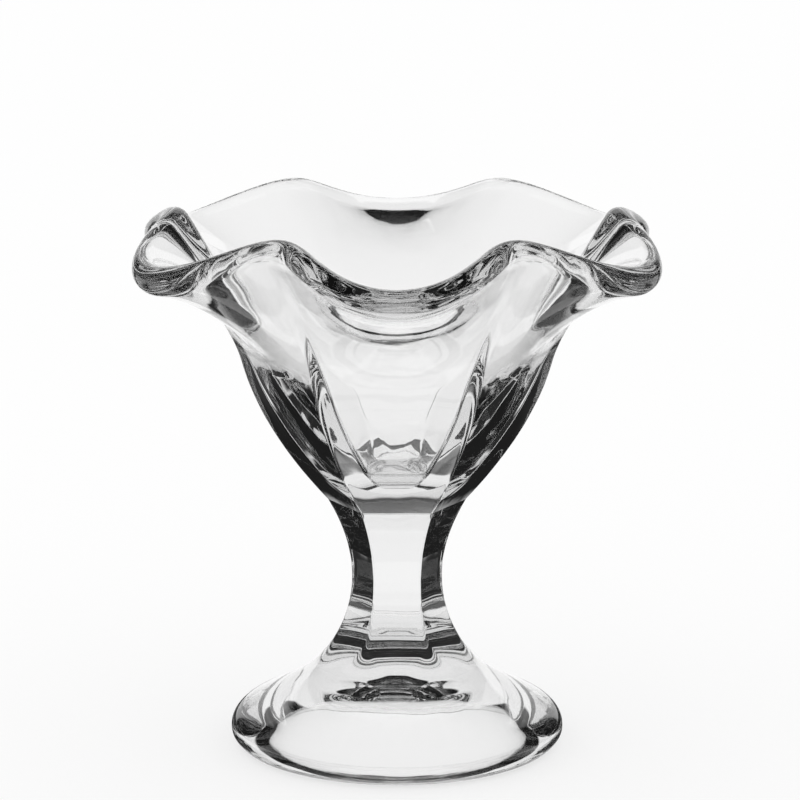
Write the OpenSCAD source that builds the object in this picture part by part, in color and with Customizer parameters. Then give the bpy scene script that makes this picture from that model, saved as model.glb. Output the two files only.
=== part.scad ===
// Parfait glass: a fluted bowl with a ruffled rim, a fluted waisted stem and a round foot.
// Lengths are in millimetres. The foot stands on z = 0, and the axis of the glass is the Z axis.
// Azimuths are in degrees from the front (-Y) towards +X. A flat panel faces the front.

/* [Foot] */
// Diameter of the foot
foot_d = 73.8; // [60:0.2:90]
// Height of the foot, from the table to the face that the stem is fused to
foot_h = 18; // [14:0.5:24]
// Radius of the rounded edge next to the table
foot_edge_r = 3.6; // [2:0.1:5]
// Width of the rounded shoulder above that edge
foot_shoulder_w = 3.4; // [2:0.1:6]
// Height of the top of the shoulder above the table
foot_shoulder_h = 8.4; // [6:0.1:11]
// Rise of the sloping top of the foot, in degrees
foot_rise = 27; // [10:1:40]
// Width of the flat ring that touches the table
foot_seat_w = 5.5; // [3:0.1:8]
// Thickness of the glass between the domed hollow under the foot and the stem
foot_floor = 6; // [4:0.1:9]
// Slope of that hollow where it meets the flat ring, in degrees
foot_hollow_fall = 54; // [40:1:70]

/* [Stem] */
// Height of the stem between its two fused faces
stem_h = 37; // [28:0.5:55]
// Diameter of the stem where it is fused to the foot
stem_base_d = 36.4; // [30:0.2:44]
// Height of the waist above the lower end of the stem
stem_waist_h = 20; // [14:0.5:26]
// Diameter of the waist, across opposite corners
stem_waist_d = 19.9; // [14:0.1:26]
// Diameter of the top of the stem, across opposite corners
stem_top_d = 30.4; // [24:0.2:40]
// Radius of the rounded corners between the panels of the stem
stem_corner_r = 0.8; // [0.4:0.1:2]
// Height over which the panels fade into the round lower end
stem_fade_h = 9; // [4:0.5:14]

/* [Bowl] */
// Number of flat panels around the glass, and of lips in the rim
panels = 6; // [5:1:9]
// Height of the panelled part of the bowl
bowl_panel_h = 31; // [24:0.5:42]
// Diameter of the top of the panels, across opposite corners
bowl_panel_d = 68; // [56:0.5:84]
// Radius of the rounded corners between the panels of the bowl
bowl_corner_r = 2.4; // [1:0.1:6]
// Thickness of the wall at the top of a panel
bowl_wall = 4.4; // [3:0.1:7]
// Thickness of the glass between the inside of the bowl and the stem
bowl_floor = 7; // [5:0.1:12]
// Diameter of the rounded bottom of the inside, across opposite corners
bowl_bottom_d = 27; // [18:0.2:34]
// Height of that rounded bottom
bowl_bottom_h = 4.5; // [2:0.1:7]
// Radius of the rounded corners of the inside
bowl_inner_corner_r = 1.2; // [0.6:0.1:7]

/* [Rim] */
// Diameter of the middle line of the rim, through opposite lips
rim_lip_d = 116.7; // [100:0.2:136]
// Diameter of the middle line of the rim, over opposite corners
rim_corner_d = 96.3; // [86:0.2:112]
// Height of the middle of the rim above the panels, at a lip
rim_lip_h = 23.4; // [17:0.2:30]
// Height of the middle of the rim above the panels, over a corner
rim_corner_h = 30.7; // [24:0.2:38]
// Radius of the rounded edge of the rim
rim_edge_r = 3.3; // [2:0.1:4.5]
// Lean of the wall from upright at a lip, in degrees
rim_lip_lean = 79; // [60:1:88]
// Lean of the wall from upright over a corner, in degrees
rim_corner_lean = 32; // [15:1:50]
// Extra radius of the rim between a lip and a corner
rim_swell = 0.9; // [0:0.1:2]
// Drop of the rim between a lip and a corner
rim_sag = 0.4; // [0:0.1:1.5]

/* [Hidden] */
$fn = 96;

glass_colour = [0.90, 0.94, 0.95, 0.45];

// Heights and radii of the places where the pieces are fused
stem_z = foot_h;
bowl_z = stem_z + stem_h;
panel_top_z = bowl_z + bowl_panel_h;
foot_r = foot_d / 2;
stem_base_r = stem_base_d / 2;
stem_waist_r = stem_waist_d / 2;
stem_top_r = stem_top_d / 2;
bowl_panel_r = bowl_panel_d / 2;

// Gain in radius for each unit of height, at the ends of the curved profiles
stem_base_slope = -0.95;
stem_top_slope = 0.57;
bowl_base_slope = 0.93;
bowl_top_slope = 0.27;
inner_base_slope = 1.05;
inner_top_slope = 0.5;

// Pull of each curve's ends, as shares of the straight distance between them
inner_bottom_shares = [1.2, 0.8];
flare_lip_shares = [0.5, 1.1];
flare_corner_shares = [0.67, 1.18];
shoulder_share = 1.1;
instep_share = 1;
hollow_share = 0.9;

// Share of the panels' height above which the bowl's corners grow to their full radius
bowl_corner_grow_share = 0.4;

// Crowding of the columns of points towards the corners
corner_crowding = 1.25;

// Steps along each curve
half_panel_steps = 6;
stem_steps = 8;
panel_steps = 9;
flare_steps = 12;
edge_steps = 8;
inner_steps = 8;
inner_bottom_steps = 3;
foot_steps = 12;

// Angle from the middle of a panel to its corner
half_panel = 180 / panels;

// Azimuths of the columns of points, from one corner of each panel to the next
columns = [
    for (panel = [0 : panels - 1], i = [-half_panel_steps : half_panel_steps - 1])
        let (crowded = 1 - pow(1 - abs(i) / half_panel_steps, corner_crowding))
        2 * half_panel * panel + sign(i) * half_panel * crowded
];

function mix(a, b, share) = a + (b - a) * share;

// Point on a cubic curve that leaves p0 along pull0 and reaches p1 along pull1
function curve(p0, pull0, p1, pull1, s) =
    (2 * s^3 - 3 * s^2 + 1) * p0 + (s^3 - 2 * s^2 + s) * pull0
    + (3 * s^2 - 2 * s^3) * p1 + (s^3 - s^2) * pull1;

function unit(v) = v / norm(v);

// Radius, at an azimuth, of a polygon of panels whose rounded corners reach out to corner_reach
function panelled_r(az, corner_reach, corner_r) =
    let (
        off = abs((az + 3 * half_panel) % (2 * half_panel) - half_panel),
        turn = half_panel - off,
        round_r = min(corner_r, corner_reach),
        centre_r = corner_reach - round_r,
        flat_r = centre_r * cos(half_panel) + round_r
    )
    flat_r * tan(off) <= centre_r * sin(half_panel)
        ? flat_r / cos(off)
        : centre_r * cos(turn) + sqrt(max(round_r^2 - (centre_r * sin(turn))^2, 0));

// Point in space for a radius and height at an azimuth
function place(az, rz) = [rz[0] * sin(az), -rz[0] * cos(az), rz[1]];

// Profile of the stem: reach of the corners, and their rounding, at share s below or above the waist
function stem_lower(s) =
    curve(stem_base_r, stem_base_slope * stem_waist_h, stem_waist_r, 0, s);
function stem_upper(s) =
    let (upper_h = stem_h - stem_waist_h)
    curve(stem_waist_r, 0, stem_top_r, stem_top_slope * upper_h, s);
function stem_rounding(z, reach) =
    let (round_share = pow(1 - min((z - stem_z) / stem_fade_h, 1), 2))
    mix(stem_corner_r, reach, round_share);
function stem_ring(z, reach) =
    [for (az = columns) place(az, [panelled_r(az, reach, stem_rounding(z, reach)), z])];

// Profile of the panelled part of the bowl at share s of its height
function panel_reach(s) =
    curve(stem_top_r, bowl_base_slope * bowl_panel_h, bowl_panel_r, bowl_top_slope * bowl_panel_h, s);
function panel_rounding(s) =
    let (grown_share = max(s - bowl_corner_grow_share, 0) / (1 - bowl_corner_grow_share))
    mix(stem_corner_r, bowl_corner_r, grown_share);
function panel_point(az, s) =
    [panelled_r(az, panel_reach(s), panel_rounding(s)), bowl_z + bowl_panel_h * s];

// Rim: 1 in the middle of a lip and 0 over a corner
function lip_share(az) = (1 + cos(panels * az)) / 2;
function rim_middle(az) =
    let (
        lip = lip_share(az),
        between_share = 4 * lip * (1 - lip)
    )
    [mix(rim_corner_d, rim_lip_d, lip) / 2 + rim_swell * between_share,
     panel_top_z + mix(rim_corner_h, rim_lip_h, lip) - rim_sag * between_share];
function rim_point(az, turn) =
    let (lean = mix(rim_corner_lean, rim_lip_lean, lip_share(az)))
    rim_middle(az) + rim_edge_r * [cos(lean - turn), -sin(lean - turn)];

// Flare from the top of the panels to the rim, along the outer or the inner face of the wall
function flare_point(az, start, start_slope, end, s) =
    let (
        reach = norm(end - start),
        lip = lip_share(az),
        lean = mix(rim_corner_lean, rim_lip_lean, lip),
        pulls = mix(flare_corner_shares, flare_lip_shares, lip) * reach
    )
    curve(start, pulls[0] * unit([start_slope, 1]), end, pulls[1] * [sin(lean), cos(lean)], s);
function outer_flare(az, s) =
    flare_point(az, panel_point(az, 1), bowl_top_slope, rim_point(az, 0), s);
function inner_flare(az, s) =
    flare_point(az, inner_point(az, inner_side(1)), inner_top_slope, rim_point(az, 180), s);

// Inside of the bowl below the flare: a panelled hollow that narrows to a small rounded bottom
inner_floor_z = bowl_z + bowl_floor;
inner_bottom = [bowl_bottom_d / 2, inner_floor_z + bowl_bottom_h];
inner_flat_r = panel_point(0, 1)[0] - bowl_wall;
inner_top = [(inner_flat_r - bowl_inner_corner_r) / cos(half_panel) + bowl_inner_corner_r, panel_top_z];
function inner_point(az, rz) = [panelled_r(az, rz[0], bowl_inner_corner_r), rz[1]];
function inner_side(s) =
    let (side_h = inner_top[1] - inner_bottom[1])
    curve(inner_bottom, side_h * [inner_base_slope, 1], inner_top, side_h * [inner_top_slope, 1], s);
function inner_floor(s) =
    let (
        start = [0, inner_floor_z],
        pulls = inner_bottom_shares * norm(inner_bottom - start)
    )
    curve(start, pulls[0] * [1, 0], inner_bottom, pulls[1] * unit([inner_base_slope, 1]), s);

// Triangles between one ring of n points and the next, for count rings one after another
function band_faces(count, n) = [
    for (k = [0 : count - 2], i = [0 : n - 1])
        let (a = k * n + i, b = k * n + (i + 1) % n)
        each [[a, a + n, b], [b, a + n, b + n]]
];

module bowl() {
    n = len(columns);
    rings = [
        for (k = [0 : panel_steps]) [for (az = columns) place(az, panel_point(az, k / panel_steps))],
        for (k = [1 : flare_steps]) [for (az = columns) place(az, outer_flare(az, k / flare_steps))],
        for (k = [1 : edge_steps]) [for (az = columns) place(az, rim_point(az, 180 * k / edge_steps))],
        for (k = [flare_steps - 1 : -1 : 0]) [for (az = columns) place(az, inner_flare(az, k / flare_steps))],
        for (k = [inner_steps - 1 : -1 : 0])
            [for (az = columns) place(az, inner_point(az, inner_side(k / inner_steps)))],
        for (k = [inner_bottom_steps - 1 : -1 : 1])
            [for (az = columns) place(az, inner_point(az, inner_floor(k / inner_bottom_steps)))],
    ];
    count = len(rings);
    last = (count - 1) * n;
    color(glass_colour)
        polyhedron(
            points = [for (ring = rings) each ring, [0, 0, inner_floor_z], [0, 0, bowl_z]],
            faces = [
                each band_faces(count, n),
                for (i = [0 : n - 1]) [last + i, count * n, last + (i + 1) % n],
                for (i = [0 : n - 1]) [i, (i + 1) % n, count * n + 1],
            ]
        );
}

module stem() {
    n = len(columns);
    upper_h = stem_h - stem_waist_h;
    rings = [
        for (k = [0 : stem_steps])
            let (s = k / stem_steps)
            stem_ring(stem_z + stem_waist_h * s, stem_lower(s)),
        for (k = [1 : stem_steps])
            let (s = k / stem_steps)
            stem_ring(stem_z + stem_waist_h + upper_h * s, stem_upper(s)),
    ];
    count = len(rings);
    last = (count - 1) * n;
    color(glass_colour)
        polyhedron(
            points = [for (ring = rings) each ring, [0, 0, stem_z], [0, 0, bowl_z]],
            faces = [
                each band_faces(count, n),
                for (i = [0 : n - 1]) [i, (i + 1) % n, count * n],
                for (i = [0 : n - 1]) [last + i, count * n + 1, last + (i + 1) % n],
            ]
        );
}

module foot() {
    steps = [1 : foot_steps];
    seat_outer_r = foot_r - foot_edge_r;
    seat_inner_r = seat_outer_r - foot_seat_w;
    shoulder_end = [foot_r - foot_shoulder_w, foot_shoulder_h];
    shoulder_start = [foot_r, foot_edge_r];
    stem_join = [stem_base_r, foot_h];
    slope = [-cos(foot_rise), sin(foot_rise)];
    shoulder_pull = shoulder_share * norm(shoulder_end - shoulder_start);
    instep_pull = instep_share * norm(stem_join - shoulder_end);
    hollow_top = [0, foot_h - foot_floor];
    hollow_edge = [seat_inner_r, 0];
    hollow_pull = hollow_share * norm(hollow_edge - hollow_top);
    fall = [cos(foot_hollow_fall), -sin(foot_hollow_fall)];
    outline = [
        for (k = [0 : foot_steps])
            curve(hollow_top, hollow_pull * [1, 0], hollow_edge, hollow_pull * fall, k / foot_steps),
        [seat_outer_r, 0],
        for (k = steps)
            let (turn = 90 * k / foot_steps)
            [seat_outer_r + foot_edge_r * sin(turn), foot_edge_r * (1 - cos(turn))],
        for (k = steps)
            curve(shoulder_start, [0, shoulder_pull], shoulder_end, shoulder_pull * slope, k / foot_steps),
        for (k = steps)
            curve(shoulder_end, instep_pull * slope,
                  stem_join, instep_pull * unit([stem_base_slope, 1]), k / foot_steps),
        [0, foot_h],
    ];
    color(glass_colour) rotate_extrude() polygon(outline);
}

bowl();
stem();
foot();
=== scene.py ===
# %% [markdown]
# # A pressed parfait glass
# The object is a clear glass dish for ice cream: a bowl with six flat panels and a ruffled rim, a waisted
# six-sided stem and a round foot. Nothing on it moves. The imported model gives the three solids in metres,
# and this lesson makes a finer mesh for each one in the same place, because glass shows every facet of its
# shape.

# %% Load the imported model
import math
import bpy
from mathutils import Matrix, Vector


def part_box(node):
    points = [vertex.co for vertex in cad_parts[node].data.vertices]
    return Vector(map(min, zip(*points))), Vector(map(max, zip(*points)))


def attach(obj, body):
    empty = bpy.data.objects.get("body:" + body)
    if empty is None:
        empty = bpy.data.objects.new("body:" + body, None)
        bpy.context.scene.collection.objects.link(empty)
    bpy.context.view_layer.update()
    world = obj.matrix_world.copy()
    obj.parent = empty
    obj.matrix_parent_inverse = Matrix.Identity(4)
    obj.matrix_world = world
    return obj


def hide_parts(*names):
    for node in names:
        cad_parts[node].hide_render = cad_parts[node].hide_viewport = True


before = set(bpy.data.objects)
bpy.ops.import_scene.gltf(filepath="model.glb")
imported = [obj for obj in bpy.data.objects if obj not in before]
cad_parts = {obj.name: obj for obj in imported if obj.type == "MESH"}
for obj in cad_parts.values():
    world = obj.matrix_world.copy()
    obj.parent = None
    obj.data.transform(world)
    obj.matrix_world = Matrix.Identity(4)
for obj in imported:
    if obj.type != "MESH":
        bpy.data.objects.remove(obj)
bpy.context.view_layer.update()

MM = 0.001

# %% [markdown]
# ## Sizes
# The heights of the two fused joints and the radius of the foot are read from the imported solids, so that the
# fine meshes sit where the solids are. The other sizes are the dish's own, in millimetres, and each stands
# with the piece that first needs it.

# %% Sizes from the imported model
PANELS = 6
HALF_PANEL = math.pi / PANELS

foot_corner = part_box("foot")[1]
FOOT_RADIUS = foot_corner.x
FOOT_TOP = foot_corner.z
BOWL_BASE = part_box("bowl")[0].z
print("joints at", round(FOOT_TOP / MM, 2), "and", round(BOWL_BASE / MM, 2), "mm above the table")

# %% [markdown]
# ## One helper for nodes
# Geometry and materials are both built from nodes. One function adds a node, gives it its settings, feeds its
# inputs with plain values or with other nodes' outputs, and hands back its first live output. A second one
# starts a geometry tree with named inputs.


# %% Node helpers
def add(tree, kind, settings=None, feeds=None):
    """Add a node, set it up, feed its inputs and return its first live output."""
    node = tree.nodes.new(kind)
    for name, value in (settings or {}).items():
        setattr(node, name, value)
    live = [socket for socket in node.inputs if socket.enabled]
    for key, source in (feeds or {}).items():
        socket = live[key] if isinstance(key, int) else next(s for s in live if s.name == key)
        for one in source if isinstance(source, list) else [source]:
            if isinstance(one, bpy.types.NodeSocket):
                tree.links.new(one, socket)
            else:
                socket.default_value = one
    return next((socket for socket in node.outputs if socket.enabled), node)


def new_tree(name, inputs, outputs):
    """Start a geometry tree with named sockets, and return it with its input and output sockets."""
    tree = bpy.data.node_groups.new(name, "GeometryNodeTree")
    for socket, kind in inputs.items():
        tree.interface.new_socket(socket, in_out="INPUT", socket_type="NodeSocket" + kind)
    for socket, kind in outputs.items():
        tree.interface.new_socket(socket, in_out="OUTPUT", socket_type="NodeSocket" + kind)
    return tree, tree.nodes.new("NodeGroupInput").outputs, tree.nodes.new("NodeGroupOutput").inputs


print("helpers ready")

# %% [markdown]
# ## A smooth curve between two rings
# Each stretch of the dish's outline leaves one ring in a known direction and reaches the next in another. A
# cubic curve does that, and it needs only mixes: four points are mixed to three, three to two, two to one.

# %% Group: curve between rings
curve_tree, given, made = new_tree(
    "Curve between rings",
    {"Start": "Vector", "Start Pull": "Vector", "End": "Vector", "End Pull": "Vector", "Share": "Float"},
    {"Point": "Vector"},
)
third = 1 / 3
start_handle = add(curve_tree, "ShaderNodeVectorMath", {"operation": "MULTIPLY_ADD"},
                   {0: given["Start Pull"], 1: (third, third, third), 2: given["Start"]})
end_handle = add(curve_tree, "ShaderNodeVectorMath", {"operation": "MULTIPLY_ADD"},
                 {0: given["End Pull"], 1: (-third, -third, -third), 2: given["End"]})
points = [given["Start"], start_handle, end_handle, given["End"]]
while len(points) > 1:
    points = [
        add(curve_tree, "ShaderNodeMix", {"data_type": "VECTOR"}, {"Factor": given["Share"], "A": a, "B": b})
        for a, b in zip(points, points[1:])
    ]
curve_tree.links.new(points[0], made["Point"])
print(curve_tree.name, "has", len(curve_tree.nodes), "nodes")

# %% [markdown]
# ## Panels with rounded corners
# The stem and the lower bowl are six-sided. At each azimuth the radius is either on a flat panel or on the
# round corner between two panels. When the corner's radius is as large as the reach, the outline is a circle,
# so the same rule also serves the round foot.

# %% Group: panelled radius
panel_tree, given, made = new_tree(
    "Panelled radius",
    {"Azimuth": "Float", "Reach": "Float", "Corner": "Float"},
    {"Radius": "Float"},
)
corner = add(panel_tree, "ShaderNodeMath", {"operation": "MINIMUM"}, {0: given["Corner"], 1: given["Reach"]})
centre = add(panel_tree, "ShaderNodeMath", {"operation": "SUBTRACT"}, {0: given["Reach"], 1: corner})
flat = add(panel_tree, "ShaderNodeMath", {"operation": "MULTIPLY_ADD"},
           {0: centre, 1: math.cos(HALF_PANEL), 2: corner})
off = add(panel_tree, "ShaderNodeMath", {"operation": "PINGPONG"}, {0: given["Azimuth"], 1: HALF_PANEL})
turn = add(panel_tree, "ShaderNodeMath", {"operation": "SUBTRACT"}, {0: HALF_PANEL, 1: off})
cos_off = add(panel_tree, "ShaderNodeMath", {"operation": "COSINE"}, {0: off})
on_panel = add(panel_tree, "ShaderNodeMath", {"operation": "DIVIDE"}, {0: flat, 1: cos_off})
sin_turn = add(panel_tree, "ShaderNodeMath", {"operation": "SINE"}, {0: turn})
aside = add(panel_tree, "ShaderNodeMath", {"operation": "MULTIPLY"}, {0: centre, 1: sin_turn})
aside_square = add(panel_tree, "ShaderNodeMath", {"operation": "MULTIPLY"}, {0: aside, 1: aside})
corner_square = add(panel_tree, "ShaderNodeMath", {"operation": "MULTIPLY"}, {0: corner, 1: corner})
left = add(panel_tree, "ShaderNodeMath", {"operation": "SUBTRACT"}, {0: corner_square, 1: aside_square})
beyond = add(panel_tree, "ShaderNodeMath", {"operation": "SQRT"}, {0: left})
cos_turn = add(panel_tree, "ShaderNodeMath", {"operation": "COSINE"}, {0: turn})
on_corner = add(panel_tree, "ShaderNodeMath", {"operation": "MULTIPLY_ADD"},
                {0: centre, 1: cos_turn, 2: beyond})
tan_off = add(panel_tree, "ShaderNodeMath", {"operation": "TANGENT"}, {0: off})
along = add(panel_tree, "ShaderNodeMath", {"operation": "MULTIPLY"}, {0: flat, 1: tan_off})
panel_end = add(panel_tree, "ShaderNodeMath", {"operation": "MULTIPLY"},
                {0: centre, 1: math.sin(HALF_PANEL)})
past_panel = add(panel_tree, "ShaderNodeMath", {"operation": "GREATER_THAN"}, {0: along, 1: panel_end})
radius = add(panel_tree, "ShaderNodeMix", {"data_type": "FLOAT"},
             {"Factor": past_panel, "A": on_panel, "B": on_corner})
panel_tree.links.new(radius, made["Radius"])
print(panel_tree.name, "has", len(panel_tree.nodes), "nodes")

# %% [markdown]
# ## Where a point is
# Every stretch starts as a flat sheet one unit wide and one unit tall. Across the sheet runs the azimuth, and
# up the sheet runs the share of the stretch. The columns crowd towards the corners between the panels, where
# the glass turns fastest and a coarse mesh would show.

# %% Group: place on the sheet
CROWDING = 1.6
place_tree, given, made = new_tree("Place on the sheet", {}, {"Azimuth": "Float", "Share": "Float"})
position = add(place_tree, "GeometryNodeInputPosition")
across = add(place_tree, "ShaderNodeSeparateXYZ", feeds={"Vector": position})
up = across.node.outputs["Y"]
panel_count = add(place_tree, "ShaderNodeMath", {"operation": "MULTIPLY_ADD"},
                  {0: across, 1: PANELS, 2: PANELS / 2})
nearest = add(place_tree, "ShaderNodeMath", {"operation": "ROUND"}, {0: panel_count})
local = add(place_tree, "ShaderNodeMath", {"operation": "SUBTRACT"}, {0: panel_count, 1: nearest})
side = add(place_tree, "ShaderNodeMath", {"operation": "SIGN"}, {0: local})
away = add(place_tree, "ShaderNodeMath", {"operation": "ABSOLUTE"}, {0: local})
to_corner = add(place_tree, "ShaderNodeMath", {"operation": "MULTIPLY_ADD"}, {0: away, 1: -2.0, 2: 1.0})
to_corner = add(place_tree, "ShaderNodeMath", {"operation": "MAXIMUM"}, {0: to_corner, 1: 0.0})
crowded = add(place_tree, "ShaderNodeMath", {"operation": "POWER"}, {0: to_corner, 1: CROWDING})
crowded = add(place_tree, "ShaderNodeMath", {"operation": "SUBTRACT"}, {0: 1.0, 1: crowded})
swing = add(place_tree, "ShaderNodeMath", {"operation": "MULTIPLY"}, {0: crowded, 1: side})
middle = add(place_tree, "ShaderNodeMath", {"operation": "MULTIPLY"}, {0: nearest, 1: 2.0})
steps = add(place_tree, "ShaderNodeMath", {"operation": "ADD"}, {0: middle, 1: swing})
azimuth = add(place_tree, "ShaderNodeMath", {"operation": "MULTIPLY"}, {0: steps, 1: HALF_PANEL})
share = add(place_tree, "ShaderNodeMath", {"operation": "ADD"}, {0: up, 1: 0.5})
place_tree.links.new(azimuth, made["Azimuth"])
place_tree.links.new(share, made["Share"])
print(place_tree.name, "has", len(place_tree.nodes), "nodes")

# %% [markdown]
# ## A turned stretch
# A lathe could turn the foot but not the ruffled rim, so the stretch is turned by a rule: each point of the
# sheet is put on the curve between two rings, pressed onto the panels, and swung round the axis. Pressed
# glass is never quite true, so a slow ripple of about a tenth of a millimetre bends the light as the real
# dish does. It fades out at the table, where the foot has to sit flat.

# %% Group: turned stretch
RIPPLE_SIZE = 11 * MM
RIPPLE_HEIGHT = 0.10 * MM
RIPPLE_FADE = 4 * MM
RIPPLE_DETAIL = 1.0
stretch_tree, given, made = new_tree(
    "Turned stretch",
    {"Columns": "Int", "Rows": "Int", "Start": "Vector", "Start Pull": "Vector", "End": "Vector",
     "End Pull": "Vector", "Corner": "Float"},
    {"Geometry": "Geometry"},
)
sheet = add(stretch_tree, "GeometryNodeMeshGrid",
            feeds={"Size X": 1.0, "Size Y": 1.0, "Vertices X": given["Columns"], "Vertices Y": given["Rows"]})
azimuth = add(stretch_tree, "GeometryNodeGroup", {"node_tree": place_tree})
share = azimuth.node.outputs["Share"]
curve_feeds = {name: given[name] for name in ("Start", "Start Pull", "End", "End Pull")}
point = add(stretch_tree, "GeometryNodeGroup", {"node_tree": curve_tree}, {**curve_feeds, "Share": share})
parts = add(stretch_tree, "ShaderNodeSeparateXYZ", feeds={"Vector": point}).node.outputs
reach = add(stretch_tree, "ShaderNodeMath", {"operation": "MULTIPLY"}, {0: parts["Y"], 1: -1.0})
radius = add(stretch_tree, "GeometryNodeGroup", {"node_tree": panel_tree},
             {"Azimuth": azimuth, "Reach": reach, "Corner": given["Corner"]})
front = add(stretch_tree, "ShaderNodeMath", {"operation": "MULTIPLY"}, {0: radius, 1: -1.0})
pressed = add(stretch_tree, "ShaderNodeCombineXYZ", feeds={"Y": front, "Z": parts["Z"]})
turned = add(stretch_tree, "ShaderNodeVectorRotate", {"rotation_type": "Z_AXIS"},
             {"Vector": pressed, "Angle": azimuth})
ripple = add(stretch_tree, "ShaderNodeTexNoise", {"noise_dimensions": "3D"},
             {"Vector": turned, "Scale": 1 / RIPPLE_SIZE, "Detail": RIPPLE_DETAIL}).node.outputs["Color"]
ripple = add(stretch_tree, "ShaderNodeVectorMath", {"operation": "SUBTRACT"}, {0: ripple, 1: (0.5, 0.5, 0.5)})
settle = add(stretch_tree, "ShaderNodeMapRange", {"interpolation_type": "SMOOTHSTEP"},
             {"Value": parts["Z"], "From Min": 0.0, "From Max": RIPPLE_FADE,
              "To Min": 0.0, "To Max": 2 * RIPPLE_HEIGHT})
ripple = add(stretch_tree, "ShaderNodeVectorMath", {"operation": "SCALE"}, {0: ripple, "Scale": settle})
placed = add(stretch_tree, "ShaderNodeVectorMath", {"operation": "ADD"}, {0: turned, 1: ripple})
shaped = add(stretch_tree, "GeometryNodeSetPosition", feeds={"Geometry": sheet, "Position": placed})
stretch_tree.links.new(shaped, made["Geometry"])
print(stretch_tree.name, "has", len(stretch_tree.nodes), "nodes")

# %% [markdown]
# ## Clear pressed glass
# The dish is soda-lime glass, pressed hot in a mould and then fire-polished: a flame melts the skin until it
# is smooth. To the eye that is a clear body with an IOR of 1.52, hardly any roughness, and a skin that is
# still faintly uneven, as cooled honey is, so the dark outlines in it wander. A plain glass shader would be
# too clean, so a noise a few millimetres wide bumps the skin, a wider one leaves a trace of haze, and the
# volume soaks up a little light of every colour, which greys the thick rim and foot. Where two pieces are
# fused, the real glass has no surface. Those faces carry the attribute "fused", and the same material lets
# rays straight through there.


# %% Material helpers
def linear(code):
    """An sRGB hex colour as linear red, green, blue and alpha."""
    channels = [int(code[i:i + 2], 16) / 255 for i in (1, 3, 5)]
    return tuple(c / 12.92 if c <= 0.04045 else ((c + 0.055) / 1.055) ** 2.4 for c in channels) + (1.0,)


def new_material(name):
    """An empty material with its tree and the sockets of its output node."""
    material = bpy.data.materials.new(name)
    material.use_nodes = True
    material.node_tree.nodes.clear()
    return material, material.node_tree, material.node_tree.nodes.new("ShaderNodeOutputMaterial").inputs


WHITE = linear("#FFFFFF")
BLACK = linear("#000000")
print("white is", WHITE, "and black is", BLACK)

# %% Glass
GLASS_IOR = 1.52
# The glass takes light at this rate per metre, so 10 mm of it take about 6 percent.
GLASS_DENSITY = 6.0
SKIN_SIZE = 3.5 * MM
SKIN_HEIGHT = 0.012 * MM
SKIN_DETAIL = 1.0
HAZE_SIZE = 14 * MM
HAZE_DETAIL = 2.0
HAZE_START = 0.5
HAZE_FULL = 0.8
HAZE_ROUGHNESS = 0.04

glass, shader, out = new_material("soda_lime_glass_pressed")
spot = add(shader, "ShaderNodeTexCoord").node.outputs["Object"]
skin = add(shader, "ShaderNodeTexNoise", {"noise_dimensions": "3D"},
           {"Vector": spot, "Scale": 1 / SKIN_SIZE, "Detail": SKIN_DETAIL})
uneven = add(shader, "ShaderNodeBump", feeds={"Strength": 1.0, "Distance": SKIN_HEIGHT, "Height": skin})
haze = add(shader, "ShaderNodeTexNoise", {"noise_dimensions": "3D"},
           {"Vector": spot, "Scale": 1 / HAZE_SIZE, "Detail": HAZE_DETAIL})
haze = add(shader, "ShaderNodeMapRange", feeds={
    "Value": haze, "From Min": HAZE_START, "From Max": HAZE_FULL, "To Min": 0.0, "To Max": HAZE_ROUGHNESS})
polished = add(shader, "ShaderNodeBsdfPrincipled", feeds={
    "Base Color": WHITE, "Roughness": haze, "IOR": GLASS_IOR, "Transmission Weight": 1.0, "Normal": uneven})
through = add(shader, "ShaderNodeBsdfTransparent", feeds={"Color": WHITE})
fused = add(shader, "ShaderNodeAttribute", {"attribute_name": "fused"}).node.outputs["Fac"]
surface = add(shader, "ShaderNodeMixShader", feeds={"Fac": fused, 1: polished, 2: through})
shader.links.new(surface, out["Surface"])
depth = add(shader, "ShaderNodeVolumeAbsorption", feeds={"Color": BLACK, "Density": GLASS_DENSITY})
shader.links.new(depth, out["Volume"])
print("material", glass.name, "with", len(shader.nodes), "nodes")

# %% [markdown]
# ## Finishing a piece
# Each piece turns its stretches, joins them, closes the seams and poles, keeps the edges at the joints sharp,
# marks the faces that are fused to its neighbour, and takes the glass. The tree is then turned into a plain
# mesh, because other programs don't know its nodes.

# %% Finishing helpers
COLUMNS = 361
SEAM = 0.001 * MM
SHARP_EDGE = math.radians(30)
JOINT_NEARNESS = 0.1 * MM


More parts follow.
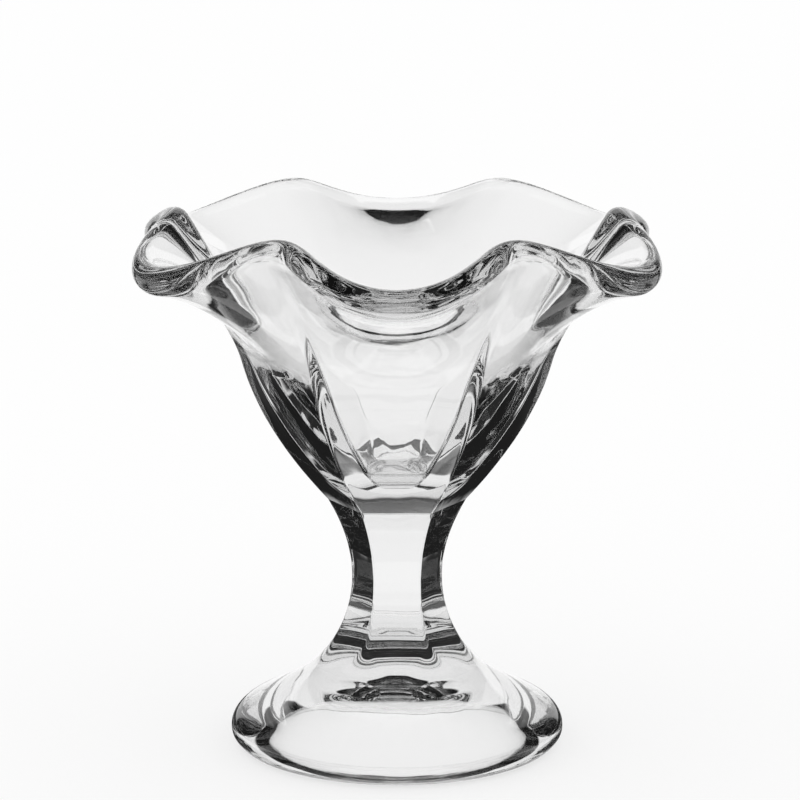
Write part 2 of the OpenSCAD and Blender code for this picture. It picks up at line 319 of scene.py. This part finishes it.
def finish_tree(tree, columns, rows, stretches, joint_heights, result):
    """Turn a piece's stretches, join them into one closed skin, mark its fused faces and give it glass."""
    turned_stretches = []
    for name, (start, start_pull, end, end_pull, rounding) in stretches.items():
        turned_stretches.append(add(tree, "GeometryNodeGroup", {"node_tree": stretch_tree}, {
            "Columns": columns, "Rows": rows[name], "Start": start, "Start Pull": start_pull,
            "End": end, "End Pull": end_pull, "Corner": rounding}))
    skin = add(tree, "GeometryNodeJoinGeometry", feeds={"Geometry": turned_stretches})
    skin = add(tree, "GeometryNodeMergeByDistance", feeds={"Geometry": skin, "Distance": SEAM})
    skin = add(tree, "GeometryNodeSetShadeSmooth", {"domain": "FACE"},
               {"Geometry": skin, "Shade Smooth": True})
    angle = add(tree, "GeometryNodeInputMeshEdgeAngle")
    sharp = add(tree, "ShaderNodeMath", {"operation": "GREATER_THAN"}, {0: angle, 1: SHARP_EDGE})
    skin = add(tree, "GeometryNodeSetShadeSmooth", {"domain": "EDGE"},
               {"Geometry": skin, "Selection": sharp, "Shade Smooth": False})
    position = add(tree, "GeometryNodeInputPosition")
    height = add(tree, "ShaderNodeSeparateXYZ", feeds={"Vector": position}).node.outputs["Z"]
    levels = [add(tree, "ShaderNodeMath", {"operation": "COMPARE"}, {0: height, 1: level, 2: JOINT_NEARNESS})
              for level in joint_heights]
    at_joint = add(tree, "ShaderNodeMath", {"operation": "MAXIMUM"}, {0: levels[0], 1: levels[-1]})
    skin = add(tree, "GeometryNodeStoreNamedAttribute", {"data_type": "FLOAT", "domain": "FACE"},
               {"Geometry": skin, "Name": "fused", "Value": at_joint})
    skin = add(tree, "GeometryNodeRealizeInstances", feeds={"Geometry": skin})
    skin = add(tree, "GeometryNodeSetMaterial", feeds={"Geometry": skin, "Material": glass})
    tree.links.new(skin, result)


def make_piece(name, tree, sizes):
    """Run a tree with these sizes and keep its result as a plain mesh that rides with the body."""
    piece = bpy.data.objects.new(name, bpy.data.meshes.new(name))
    bpy.context.scene.collection.objects.link(piece)
    modifier = piece.modifiers.new("shape", "NODES")
    modifier.node_group = tree
    for socket in tree.interface.items_tree:
        if socket.in_out == "INPUT":
            modifier[socket.identifier] = sizes[socket.name]
    view = piece.evaluated_get(bpy.context.evaluated_depsgraph_get())
    mesh = bpy.data.meshes.new_from_object(view)
    piece.modifiers.remove(modifier)
    piece.data = mesh
    mesh.name = name
    mesh.materials.clear()
    mesh.materials.append(glass)
    mesh.polygons.foreach_set("material_index", [0] * len(mesh.polygons))
    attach(piece, "root")
    print(name, len(mesh.vertices), "points", len(mesh.polygons), "faces")
    return piece


print("each stretch has", COLUMNS - 1, "columns of faces")

# %% [markdown]
# ## The foot
# The foot is turned: a domed hollow under it, a flat ring that touches the table, a round edge, a shoulder
# and a slope that runs up to the stem. The hollow keeps the glass of even thickness, so that it cools
# without cracking, and its edge shows through the foot as an ellipse. All the stretches are round, so their
# corner radius is simply larger than the foot.

# %% Foot: sizes and outline helpers
ROUND = 1.0
FOOT_EDGE = 3.6 * MM
FOOT_SHOULDER_WIDTH = 3.4 * MM
FOOT_SHOULDER_HEIGHT = 8.4 * MM
FOOT_SHOULDER_SHARE = 1.1
FOOT_INSTEP_SHARE = 1.0
FOOT_RISE = math.radians(27)
FOOT_SEAT_WIDTH = 5.5 * MM
FOOT_HOLLOW = 12 * MM
FOOT_HOLLOW_FALL = math.radians(54)
FOOT_HOLLOW_SHARE = 0.9
FOOT_ROWS = {"hollow": 49, "seat": 5, "edge": 17, "shoulder": 21, "instep": 41, "joint": 9}
STEM_BASE_REACH = 18.2 * MM
STEM_BASE_SLOPE = -0.95


def at(reach, height):
    """A point of the outline, drawn on the front of the axis."""
    return (0.0, -reach, height)


def pull(start, end, share, slope):
    """A pull along slope, as a share of the straight way from start to end."""
    way = share * math.dist(start, end) / math.hypot(*slope)
    return at(way * slope[0], way * slope[1])


seat_outer = FOOT_RADIUS - FOOT_EDGE
seat_inner = seat_outer - FOOT_SEAT_WIDTH
print("radii of the seat in mm", round(seat_inner / MM, 1), round(seat_outer / MM, 1))

# %% Foot
hollow_top = at(0, FOOT_HOLLOW)
hollow_edge = at(seat_inner, 0)
seat_edge = at(seat_outer, 0)
across_seat = at(seat_outer - seat_inner, 0)
edge_top = at(FOOT_RADIUS, FOOT_EDGE)
shoulder_top = at(FOOT_RADIUS - FOOT_SHOULDER_WIDTH, FOOT_SHOULDER_HEIGHT)
foot_top = at(STEM_BASE_REACH, FOOT_TOP)
to_axis = at(-STEM_BASE_REACH, 0)
fall = (math.cos(FOOT_HOLLOW_FALL), -math.sin(FOOT_HOLLOW_FALL))
rise = (-math.cos(FOOT_RISE), math.sin(FOOT_RISE))
# A cubic with pulls of this size follows a quarter of a circle.
quarter_pull = 4 * math.tan(math.pi / 8) * FOOT_EDGE

foot_stretches = {
    "hollow": (hollow_top, pull(hollow_top, hollow_edge, FOOT_HOLLOW_SHARE, (1, 0)),
               hollow_edge, pull(hollow_top, hollow_edge, FOOT_HOLLOW_SHARE, fall), ROUND),
    "seat": (hollow_edge, across_seat, seat_edge, across_seat, ROUND),
    "edge": (seat_edge, at(quarter_pull, 0), edge_top, at(0, quarter_pull), ROUND),
    "shoulder": (edge_top, pull(edge_top, shoulder_top, FOOT_SHOULDER_SHARE, (0, 1)),
                 shoulder_top, pull(edge_top, shoulder_top, FOOT_SHOULDER_SHARE, rise), ROUND),
    "instep": (shoulder_top, pull(shoulder_top, foot_top, FOOT_INSTEP_SHARE, rise),
               foot_top, pull(shoulder_top, foot_top, FOOT_INSTEP_SHARE, (STEM_BASE_SLOPE, 1)), ROUND),
    "joint": (foot_top, to_axis, at(0, FOOT_TOP), to_axis, ROUND),
}
foot_tree, given, made = new_tree("Turned foot", {"Columns": "Int"}, {"Geometry": "Geometry"})
finish_tree(foot_tree, given["Columns"], FOOT_ROWS, foot_stretches, [FOOT_TOP], made["Geometry"])
foot = make_piece("glass_foot", foot_tree, {"Columns": COLUMNS})
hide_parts("foot")

# %% [markdown]
# ## The stem
# The stem is drawn in to a waist. Its six panels are crisp over most of its height and fade into a circle
# where it meets the foot, so the corner radius grows from a sharp edge to the full reach on the way down.

# %% Stem: the fading corners
STEM_WAIST_REACH = 9.95 * MM
STEM_WAIST_RISE = 20 * MM
STEM_TOP_REACH = 15.2 * MM
STEM_TOP_SLOPE = 0.57
STEM_CORNER = 0.8 * MM
STEM_FADE = 9 * MM
STEM_FADE_POWER = 2.0
STEM_ROWS = {"lower joint": 9, "lower panels": 49, "upper panels": 41, "upper joint": 9}

waist_height = FOOT_TOP + STEM_WAIST_RISE
upper_rise = BOWL_BASE - waist_height
stem_base = at(STEM_BASE_REACH, FOOT_TOP)
stem_waist = at(STEM_WAIST_REACH, waist_height)
stem_top = at(STEM_TOP_REACH, BOWL_BASE)
base_pull = at(STEM_BASE_SLOPE * STEM_WAIST_RISE, STEM_WAIST_RISE)
waist_pull = at(0, STEM_WAIST_RISE)

stem_tree, given, made = new_tree("Panelled stem", {"Columns": "Int"}, {"Geometry": "Geometry"})
share = add(stem_tree, "GeometryNodeGroup", {"node_tree": place_tree}).node.outputs["Share"]
faded = add(stem_tree, "ShaderNodeMapRange", feeds={
    "Value": share, "From Min": 0.0, "From Max": STEM_FADE / STEM_WAIST_RISE, "To Min": 1.0, "To Max": 0.0})
faded = add(stem_tree, "ShaderNodeMath", {"operation": "POWER"}, {0: faded, 1: STEM_FADE_POWER})
lower_point = add(stem_tree, "GeometryNodeGroup", {"node_tree": curve_tree}, {
    "Start": stem_base, "Start Pull": base_pull, "End": stem_waist, "End Pull": waist_pull, "Share": share})
lower_reach = add(stem_tree, "ShaderNodeVectorMath", {"operation": "DOT_PRODUCT"},
                  {0: lower_point, 1: at(1, 0)}).node.outputs["Value"]
lower_corner = add(stem_tree, "ShaderNodeMix", {"data_type": "FLOAT"},
                   {"Factor": faded, "A": STEM_CORNER, "B": lower_reach})
print(stem_tree.name, "corner rule has", len(stem_tree.nodes), "nodes")

# %% Stem
from_axis = at(STEM_BASE_REACH, 0)
to_axis = at(-STEM_TOP_REACH, 0)
stem_stretches = {
    "lower joint": (at(0, FOOT_TOP), from_axis, stem_base, from_axis, ROUND),
    "lower panels": (stem_base, base_pull, stem_waist, waist_pull, lower_corner),
    "upper panels": (stem_waist, at(0, upper_rise), stem_top,
                     at(STEM_TOP_SLOPE * upper_rise, upper_rise), STEM_CORNER),
    "upper joint": (stem_top, to_axis, at(0, BOWL_BASE), to_axis, STEM_CORNER),
}
finish_tree(stem_tree, given["Columns"], STEM_ROWS, stem_stretches, [FOOT_TOP, BOWL_BASE], made["Geometry"])
stem = make_piece("glass_stem", stem_tree, {"Columns": COLUMNS})
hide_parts("stem")

# %% [markdown]
# ## The bowl
# The bowl is the main piece, and its whole shape follows a rule. A wave with six crests round the rim says
# how much of a lip each azimuth is: at a lip the rim is wide, low and leans far out, and over a corner it is
# narrow, high and more upright. The wall flares from the panels to that rim, goes round its thick edge and
# comes down the inside, which is six-sided too, with crisper corners, and ends in a small rounded bottom.

# %% Bowl: the rim's rule
bowl_tree, given, made = new_tree(
    "Ruffled bowl",
    {"Columns": "Int", "Lip Reach": "Float", "Corner Reach": "Float", "Lip Height": "Float",
     "Corner Height": "Float", "Lip Lean": "Float", "Corner Lean": "Float", "Swell": "Float", "Sag": "Float",
     "Edge": "Float"},
    {"Geometry": "Geometry"},
)
azimuth = add(bowl_tree, "GeometryNodeGroup", {"node_tree": place_tree})
share = azimuth.node.outputs["Share"]
phase = add(bowl_tree, "ShaderNodeMath", {"operation": "MULTIPLY"}, {0: azimuth, 1: PANELS})
wave = add(bowl_tree, "ShaderNodeMath", {"operation": "COSINE"}, {0: phase})
lip = add(bowl_tree, "ShaderNodeMath", {"operation": "MULTIPLY_ADD"}, {0: wave, 1: 0.5, 2: 0.5})
wave_square = add(bowl_tree, "ShaderNodeMath", {"operation": "MULTIPLY"}, {0: wave, 1: wave})
between = add(bowl_tree, "ShaderNodeMath", {"operation": "SUBTRACT"}, {0: 1.0, 1: wave_square})

rim_reach = add(bowl_tree, "ShaderNodeMix", {"data_type": "FLOAT"},
                {"Factor": lip, "A": given["Corner Reach"], "B": given["Lip Reach"]})
rim_reach = add(bowl_tree, "ShaderNodeMath", {"operation": "MULTIPLY_ADD"},
                {0: between, 1: given["Swell"], 2: rim_reach})
rim_front = add(bowl_tree, "ShaderNodeMath", {"operation": "MULTIPLY"}, {0: rim_reach, 1: -1.0})
rim_height = add(bowl_tree, "ShaderNodeMix", {"data_type": "FLOAT"},
                 {"Factor": lip, "A": given["Corner Height"], "B": given["Lip Height"]})
rim_drop = add(bowl_tree, "ShaderNodeMath", {"operation": "MULTIPLY"}, {0: between, 1: given["Sag"]})
rim_height = add(bowl_tree, "ShaderNodeMath", {"operation": "SUBTRACT"}, {0: rim_height, 1: rim_drop})
rim_middle = add(bowl_tree, "ShaderNodeCombineXYZ", feeds={"Y": rim_front, "Z": rim_height})

lean = add(bowl_tree, "ShaderNodeMix", {"data_type": "FLOAT"},
           {"Factor": lip, "A": given["Corner Lean"], "B": given["Lip Lean"]})
wall_out = add(bowl_tree, "ShaderNodeVectorRotate", {"rotation_type": "X_AXIS"},
               {"Vector": at(1, 0), "Angle": lean})
wall_up = add(bowl_tree, "ShaderNodeVectorRotate", {"rotation_type": "X_AXIS"},
              {"Vector": at(0, 1), "Angle": lean})
edge_out = add(bowl_tree, "ShaderNodeVectorMath", {"operation": "SCALE"},
               {0: wall_out, "Scale": given["Edge"]})
rim_outer = add(bowl_tree, "ShaderNodeVectorMath", {"operation": "ADD"}, {0: rim_middle, 1: edge_out})
rim_inner = add(bowl_tree, "ShaderNodeVectorMath", {"operation": "SUBTRACT"}, {0: rim_middle, 1: edge_out})
print(bowl_tree.name, "rim rule has", len(bowl_tree.nodes), "nodes")

# %% Bowl: panels and cup
PANEL_RISE = 31 * MM
PANEL_REACH = 34 * MM
PANEL_CORNER = 2.4 * MM
PANEL_CORNER_GROW_SHARE = 0.4
BOWL_BASE_SLOPE = 0.93
BOWL_TOP_SLOPE = 0.27
BOWL_WALL = 4.4 * MM
CUP_FLOOR_RISE = 7 * MM
CUP_BOTTOM_REACH = 13.5 * MM
CUP_BOTTOM_RISE = 11.5 * MM
CUP_CORNER = 1.2 * MM

panel_top = BOWL_BASE + PANEL_RISE
panel_flat = (PANEL_REACH - PANEL_CORNER) * math.cos(HALF_PANEL) + PANEL_CORNER
cup_reach = (panel_flat - BOWL_WALL - CUP_CORNER) / math.cos(HALF_PANEL) + CUP_CORNER
cup_height = PANEL_RISE - CUP_BOTTOM_RISE
cup_brim = at(cup_reach, panel_top)
cup_bottom = at(CUP_BOTTOM_REACH, BOWL_BASE + CUP_BOTTOM_RISE)
cup_floor = at(0, BOWL_BASE + CUP_FLOOR_RISE)

grown = add(bowl_tree, "ShaderNodeMapRange", feeds={
    "Value": share, "From Min": PANEL_CORNER_GROW_SHARE, "From Max": 1.0,
    "To Min": STEM_CORNER, "To Max": PANEL_CORNER})
brims = []
for reach, rounding in ((PANEL_REACH, PANEL_CORNER), (cup_reach, CUP_CORNER)):
    radius = add(bowl_tree, "GeometryNodeGroup", {"node_tree": panel_tree},
                 {"Azimuth": azimuth, "Reach": reach, "Corner": rounding})
    front = add(bowl_tree, "ShaderNodeMath", {"operation": "MULTIPLY"}, {0: radius, 1: -1.0})
    brims.append(add(bowl_tree, "ShaderNodeCombineXYZ", feeds={"Y": front, "Z": panel_top}))
flare_start, cup_start = brims
print("the cup is", round((panel_top - cup_floor[2]) / MM, 1), "mm deep below the tops of the panels")

# %% Bowl: the flare
FLARE_LIP_SHARES = (0.5, 1.1)
FLARE_CORNER_SHARES = (0.67, 1.18)
CUP_TOP_SLOPE = 0.5


def heading(slope):
    """A direction one unit long, which goes out by the slope for each unit that it rises."""
    return tuple(part / math.hypot(slope, 1) for part in at(slope, 1))


low_share, rim_share = [
    add(bowl_tree, "ShaderNodeMix", {"data_type": "FLOAT"}, {"Factor": lip, "A": at_corner, "B": at_lip})
    for at_corner, at_lip in zip(FLARE_CORNER_SHARES, FLARE_LIP_SHARES)
]
flare_pulls = []
for low, rim, slope in ((flare_start, rim_outer, BOWL_TOP_SLOPE), (cup_start, rim_inner, CUP_TOP_SLOPE)):
    reach = add(bowl_tree, "ShaderNodeVectorMath", {"operation": "DISTANCE"},
                {0: low, 1: rim}).node.outputs["Value"]
    for direction, part in ((heading(slope), low_share), (wall_up, rim_share)):
        size = add(bowl_tree, "ShaderNodeMath", {"operation": "MULTIPLY"}, {0: reach, 1: part})
        flare_pulls.append(add(bowl_tree, "ShaderNodeVectorMath", {"operation": "SCALE"},
                               {0: direction, "Scale": size}))
flare_low_pull, flare_rim_pull, cup_low_pull, cup_rim_pull = flare_pulls
down_from_rim, down_to_cup = [
    add(bowl_tree, "ShaderNodeVectorMath", {"operation": "SCALE"}, {0: way_up, "Scale": -1.0})
    for way_up in (cup_rim_pull, cup_low_pull)
]
print(bowl_tree.name, "wall rule has", len(bowl_tree.nodes), "nodes")

# %% Bowl: the rounded edge
# The rounded edge is not a cubic curve but a half turn about the rim's middle line, so it has its own points.
half_turn = add(bowl_tree, "ShaderNodeMath", {"operation": "MULTIPLY"}, {0: share, 1: math.pi})
edge_lean = add(bowl_tree, "ShaderNodeMath", {"operation": "SUBTRACT"}, {0: lean, 1: half_turn})
edge_arm = add(bowl_tree, "ShaderNodeVectorRotate", {"rotation_type": "X_AXIS"},
               {"Vector": at(1, 0), "Angle": edge_lean})
edge_arm = add(bowl_tree, "ShaderNodeVectorMath", {"operation": "SCALE"},
               {0: edge_arm, "Scale": given["Edge"]})
edge_point = add(bowl_tree, "ShaderNodeVectorMath", {"operation": "ADD"}, {0: rim_middle, 1: edge_arm})
print(bowl_tree.name, "with its edge has", len(bowl_tree.nodes), "nodes")

# %% Bowl: join the stretches
CUP_BASE_SLOPE = 1.05
CUP_BOTTOM_SHARES = (0.8, 1.2)
BOWL_ROWS = {"joint": 7, "panels": 45, "flare": 45, "edge": 21, "inner flare": 41, "cup": 41, "cup floor": 21}
RIM_LIP_REACH = 58.35 * MM
RIM_CORNER_REACH = 48.15 * MM
RIM_LIP_RISE = 23.4 * MM
RIM_CORNER_RISE = 30.7 * MM
RIM_LIP_LEAN = math.radians(79)
RIM_CORNER_LEAN = math.radians(32)
RIM_SWELL = 0.9 * MM
RIM_SAG = 0.4 * MM
RIM_EDGE = 3.3 * MM

from_axis = at(STEM_TOP_REACH, 0)
nowhere = at(0, 0)
bowl_stretches = {
    "joint": (at(0, BOWL_BASE), from_axis, stem_top, from_axis, STEM_CORNER),
    "panels": (stem_top, at(BOWL_BASE_SLOPE * PANEL_RISE, PANEL_RISE), at(PANEL_REACH, panel_top),
               at(BOWL_TOP_SLOPE * PANEL_RISE, PANEL_RISE), grown),
    "flare": (flare_start, flare_low_pull, rim_outer, flare_rim_pull, ROUND),
    "edge": (edge_point, nowhere, edge_point, nowhere, ROUND),
    "inner flare": (rim_inner, down_from_rim, cup_start, down_to_cup, ROUND),
    "cup": (cup_brim, at(-CUP_TOP_SLOPE * cup_height, -cup_height), cup_bottom,
            at(-CUP_BASE_SLOPE * cup_height, -cup_height), CUP_CORNER),
    "cup floor": (cup_bottom, pull(cup_bottom, cup_floor, CUP_BOTTOM_SHARES[0], (-CUP_BASE_SLOPE, -1)),
                  cup_floor, pull(cup_bottom, cup_floor, CUP_BOTTOM_SHARES[1], (-1, 0)), CUP_CORNER),
}
finish_tree(bowl_tree, given["Columns"], BOWL_ROWS, bowl_stretches, [BOWL_BASE], made["Geometry"])
bowl = make_piece("glass_bowl", bowl_tree, {
    "Columns": COLUMNS,
    "Lip Reach": RIM_LIP_REACH,
    "Corner Reach": RIM_CORNER_REACH,
    "Lip Height": panel_top + RIM_LIP_RISE,
    "Corner Height": panel_top + RIM_CORNER_RISE,
    "Lip Lean": RIM_LIP_LEAN,
    "Corner Lean": RIM_CORNER_LEAN,
    "Swell": RIM_SWELL,
    "Sag": RIM_SAG,
    "Edge": RIM_EDGE,
})
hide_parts("bowl")

# %% [markdown]
# ## Table and surroundings
# Glass has no look of its own: it shows what is around it. A glass photographer sets a white screen behind
# the dish and one in front, and leaves the room dark above them and to the left and right. Black cards lie
# on the table beside the dish, and a long strip runs out from each, so that the edges of the glass turn dark
# and draw its shape. A six-sided stem bends light by about 40 degrees, and the strips lie there. Close round
# the foot a painted shadow of the dish darkens the table, and it reaches further to the sides, away from the
# screens. The camera itself sees an even white, and the same white lights the table. Only rays that come
# through the glass, or are mirrored in it, meet the dark room and the dark table.

# %% Surroundings: helpers for the dark sides
SCREEN_SIDE = math.radians(30)
SCREEN_SOFT = math.radians(2)


def soft_step(tree, value, middle, soft):
    """A soft step from 0 to 1 as the value passes the middle."""
    return add(tree, "ShaderNodeMapRange", {"interpolation_type": "SMOOTHSTEP"},
               {"Value": value, "From Min": middle - soft, "From Max": middle + soft})


def sector(tree, angle, inner, outer):
    """1 between two angles from the screens and 0 outside them, with soft ends."""
    return add(tree, "ShaderNodeMath", {"operation": "SUBTRACT"},
               {0: soft_step(tree, angle, inner, SCREEN_SOFT), 1: soft_step(tree, angle, outer, SCREEN_SOFT)})


def angle_from_screens(tree, place):
    """The azimuth of a place or direction, from straight behind or straight in front of the dish."""
    sides = add(tree, "ShaderNodeVectorMath", {"operation": "ABSOLUTE"}, {0: place})
    sides = add(tree, "ShaderNodeSeparateXYZ", feeds={"Vector": sides}).node.outputs
    return add(tree, "ShaderNodeMath", {"operation": "ARCTAN2"}, {0: sides["X"], 1: sides["Y"]})


def glass_ray(tree):
    """1 for a ray that was mirrored by the glass or came through it, and 0 for any other ray."""
    path = add(tree, "ShaderNodeLightPath").node.outputs
    return add(tree, "ShaderNodeMath", {"operation": "MAXIMUM"},
               {0: path["Is Glossy Ray"], 1: path["Is Transmission Ray"]})


print("each screen reaches", round(math.degrees(SCREEN_SIDE)), "degrees to either side")

# %% Table: cards and strips
CARD_NEAR = 52 * MM
CARD_NEAR_SOFT = 2 * MM
CARD_SIDE = math.radians(75)
CARD_DEPTH = 150 * MM
CARD_DEPTH_SOFT = 60 * MM
STRIP_INNER_SIDE = math.radians(35)
STRIP_OUTER_SIDE = math.radians(43.5)

table_finish, shader, out = new_material("matt_white_paint")
spot = add(shader, "ShaderNodeTexCoord").node.outputs["Object"]
angle = angle_from_screens(shader, spot)
distance = add(shader, "ShaderNodeVectorMath", {"operation": "LENGTH"}, {0: spot}).node.outputs["Value"]
card = sector(shader, angle, SCREEN_SIDE, CARD_SIDE)
deep = add(shader, "ShaderNodeSeparateXYZ", feeds={"Vector": spot}).node.outputs["Y"]
deep = add(shader, "ShaderNodeMath", {"operation": "ABSOLUTE"}, {0: deep})
past_card = soft_step(shader, deep, CARD_DEPTH, CARD_DEPTH_SOFT)
card = add(shader, "ShaderNodeMix", {"data_type": "FLOAT"}, {"Factor": past_card, "A": card, "B": 0.0})
strip = sector(shader, angle, STRIP_INNER_SIDE, STRIP_OUTER_SIDE)
card = add(shader, "ShaderNodeMath", {"operation": "MAXIMUM"}, {0: card, 1: strip})
past_foot = soft_step(shader, distance, CARD_NEAR, CARD_NEAR_SOFT)
card = add(shader, "ShaderNodeMath", {"operation": "MULTIPLY"}, {0: card, 1: past_foot})
print("cards and strips take", len(shader.nodes), "nodes")

# %% Table: the dish's painted shadow
SHADOW_SIDE = math.radians(20)
SHADOW_REACH = 50 * MM
SHADOW_DEPTH = 45 * MM
SHADOW_SOFT = 1 * MM

# A painted shadow: for rays through the glass, the table is dark in a ring round the foot. The ring reaches
# further to the sides than to the front and back.
beside = soft_step(shader, angle, SHADOW_SIDE, SCREEN_SOFT)
reach = add(shader, "ShaderNodeMix", {"data_type": "FLOAT"},
            {"Factor": beside, "A": SHADOW_DEPTH, "B": SHADOW_REACH})
past_reach = add(shader, "ShaderNodeMath", {"operation": "SUBTRACT"}, {0: distance, 1: reach})
past_edge = soft_step(shader, distance, FOOT_RADIUS, SHADOW_SOFT)
past_shadow = soft_step(shader, past_reach, 0.0, SHADOW_SOFT)
shadow = add(shader, "ShaderNodeMath", {"operation": "SUBTRACT"}, {0: past_edge, 1: past_shadow})
dark_table = add(shader, "ShaderNodeMath", {"operation": "MAXIMUM"}, {0: card, 1: shadow})
print("with the shadow,", len(shader.nodes), "nodes")

# %% Table
# Matt paint mirrors nothing. The camera sees the table mostly as plain white, with a share of its paint,
# which keeps the dish's shadow.
TABLE_SIZE = 12.0
TABLE_GAP = 0.2 * MM
TABLE_PAINT = linear("#FCFCFC")
TABLE_WHITE_SHARE = 0.7
CARD_LEVEL = 0.025

# Through the glass the table glows white, but it is dark at the cards and strips and at the painted shadow
# round the foot.
level = add(shader, "ShaderNodeMix", {"data_type": "FLOAT"},
            {"Factor": dark_table, "A": 1.0, "B": CARD_LEVEL})
paint = add(shader, "ShaderNodeBsdfDiffuse", feeds={"Color": TABLE_PAINT})
white = add(shader, "ShaderNodeEmission", feeds={"Color": WHITE, "Strength": 1.0})
seen_by_camera = add(shader, "ShaderNodeLightPath").node.outputs["Is Camera Ray"]
white_share = add(shader, "ShaderNodeMath", {"operation": "MULTIPLY"},
                  {0: seen_by_camera, 1: TABLE_WHITE_SHARE})
plain = add(shader, "ShaderNodeMixShader", feeds={"Fac": white_share, 1: paint, 2: white})
seen_in_glass = add(shader, "ShaderNodeEmission", feeds={"Color": WHITE, "Strength": level})
surface = add(shader, "ShaderNodeMixShader", feeds={"Fac": glass_ray(shader), 1: plain, 2: seen_in_glass})
shader.links.new(surface, out["Surface"])

bpy.ops.mesh.primitive_plane_add(size=TABLE_SIZE, location=(0, 0, -TABLE_GAP))
table = bpy.context.object
table.name = "table"
table.data.materials.append(table_finish)
print("table", table.name, "with", len(shader.nodes), "nodes")

# %% Surroundings
SCREEN_TOP = math.radians(42)
FRONT_SCREEN_TOP = math.radians(15)
DARK_LEVEL = 0.012

world = bpy.data.worlds.new("studio")
bpy.context.scene.world = world
world.use_nodes = True
sky = world.node_tree
sky.nodes.clear()
direction = add(sky, "ShaderNodeTexCoord").node.outputs["Generated"]
sides = add(sky, "ShaderNodeSeparateXYZ", feeds={"Vector": direction}).node.outputs
height = add(sky, "ShaderNodeMath", {"operation": "ARCSINE"}, {0: sides["Z"]})
in_front = add(sky, "ShaderNodeMath", {"operation": "LESS_THAN"}, {0: sides["Y"], 1: 0.0})
screen_top = add(sky, "ShaderNodeMix", {"data_type": "FLOAT"},
                 {"Factor": in_front, "A": SCREEN_TOP, "B": FRONT_SCREEN_TOP})
over = add(sky, "ShaderNodeMath", {"operation": "SUBTRACT"}, {0: height, 1: screen_top})
above = soft_step(sky, over, 0.0, SCREEN_SOFT)
aside = soft_step(sky, angle_from_screens(sky, direction), SCREEN_SIDE, SCREEN_SOFT)
dark_room = add(sky, "ShaderNodeMath", {"operation": "MAXIMUM"}, {0: above, 1: aside})
level = add(sky, "ShaderNodeMix", {"data_type": "FLOAT"}, {"Factor": dark_room, "A": 1.0, "B": DARK_LEVEL})
strength = add(sky, "ShaderNodeMix", {"data_type": "FLOAT"}, {"Factor": glass_ray(sky), "A": 1.0, "B": level})
backdrop = add(sky, "ShaderNodeBackground", feeds={"Color": WHITE, "Strength": strength})
sky.links.new(backdrop, sky.nodes.new("ShaderNodeOutputWorld").inputs["Surface"])
print("world", world.name, "with", len(sky.nodes), "nodes")

# %% [markdown]
# ## Camera
# The photograph looks at the dish from about 0.8 m, some 12 degrees from above, with a long lens. Its picture
# is square, 800 pixels wide, and the dish stands 3 pixels left of the middle.

# %% Camera
# The sensor and the lens are in millimetres, as the camera's settings are.
CAMERA_SENSOR = 36
CAMERA_LENS = 164.4
CAMERA_BACK = 782.6 * MM
CAMERA_HEIGHT = 247.8 * MM
CAMERA_TILT = math.radians(12.29)
PHOTO_WIDTH = 800
DISH_LEFT = 3

camera_data = bpy.data.cameras.new("camera")
camera_data.sensor_width = CAMERA_SENSOR
camera_data.lens = CAMERA_LENS
camera_data.shift_x = DISH_LEFT / PHOTO_WIDTH
camera = bpy.data.objects.new("camera", camera_data)
camera.location = (0, -CAMERA_BACK, CAMERA_HEIGHT)
camera.rotation_euler = (math.pi / 2 - CAMERA_TILT, 0, 0)
bpy.context.scene.collection.objects.link(camera)
bpy.context.scene.camera = camera
print("camera", round(math.hypot(CAMERA_BACK, CAMERA_HEIGHT) / MM), "mm from the foot of the dish")

# %% [markdown]
# ## Light paths and colour
# A ray crosses many faces of glass before it leaves the dish, so the light paths are long. The plain view
# transform shows white as white.

# %% Light paths and colour
GLASS_BOUNCES = 32
FUSED_BOUNCES = 16

scene = bpy.context.scene
scene.view_settings.view_transform = "Standard"
scene.cycles.max_bounces = GLASS_BOUNCES
scene.cycles.transmission_bounces = GLASS_BOUNCES
scene.cycles.glossy_bounces = GLASS_BOUNCES
scene.cycles.transparent_max_bounces = FUSED_BOUNCES
print("a ray may turn", GLASS_BOUNCES, "times and pass", FUSED_BOUNCES, "fused faces")
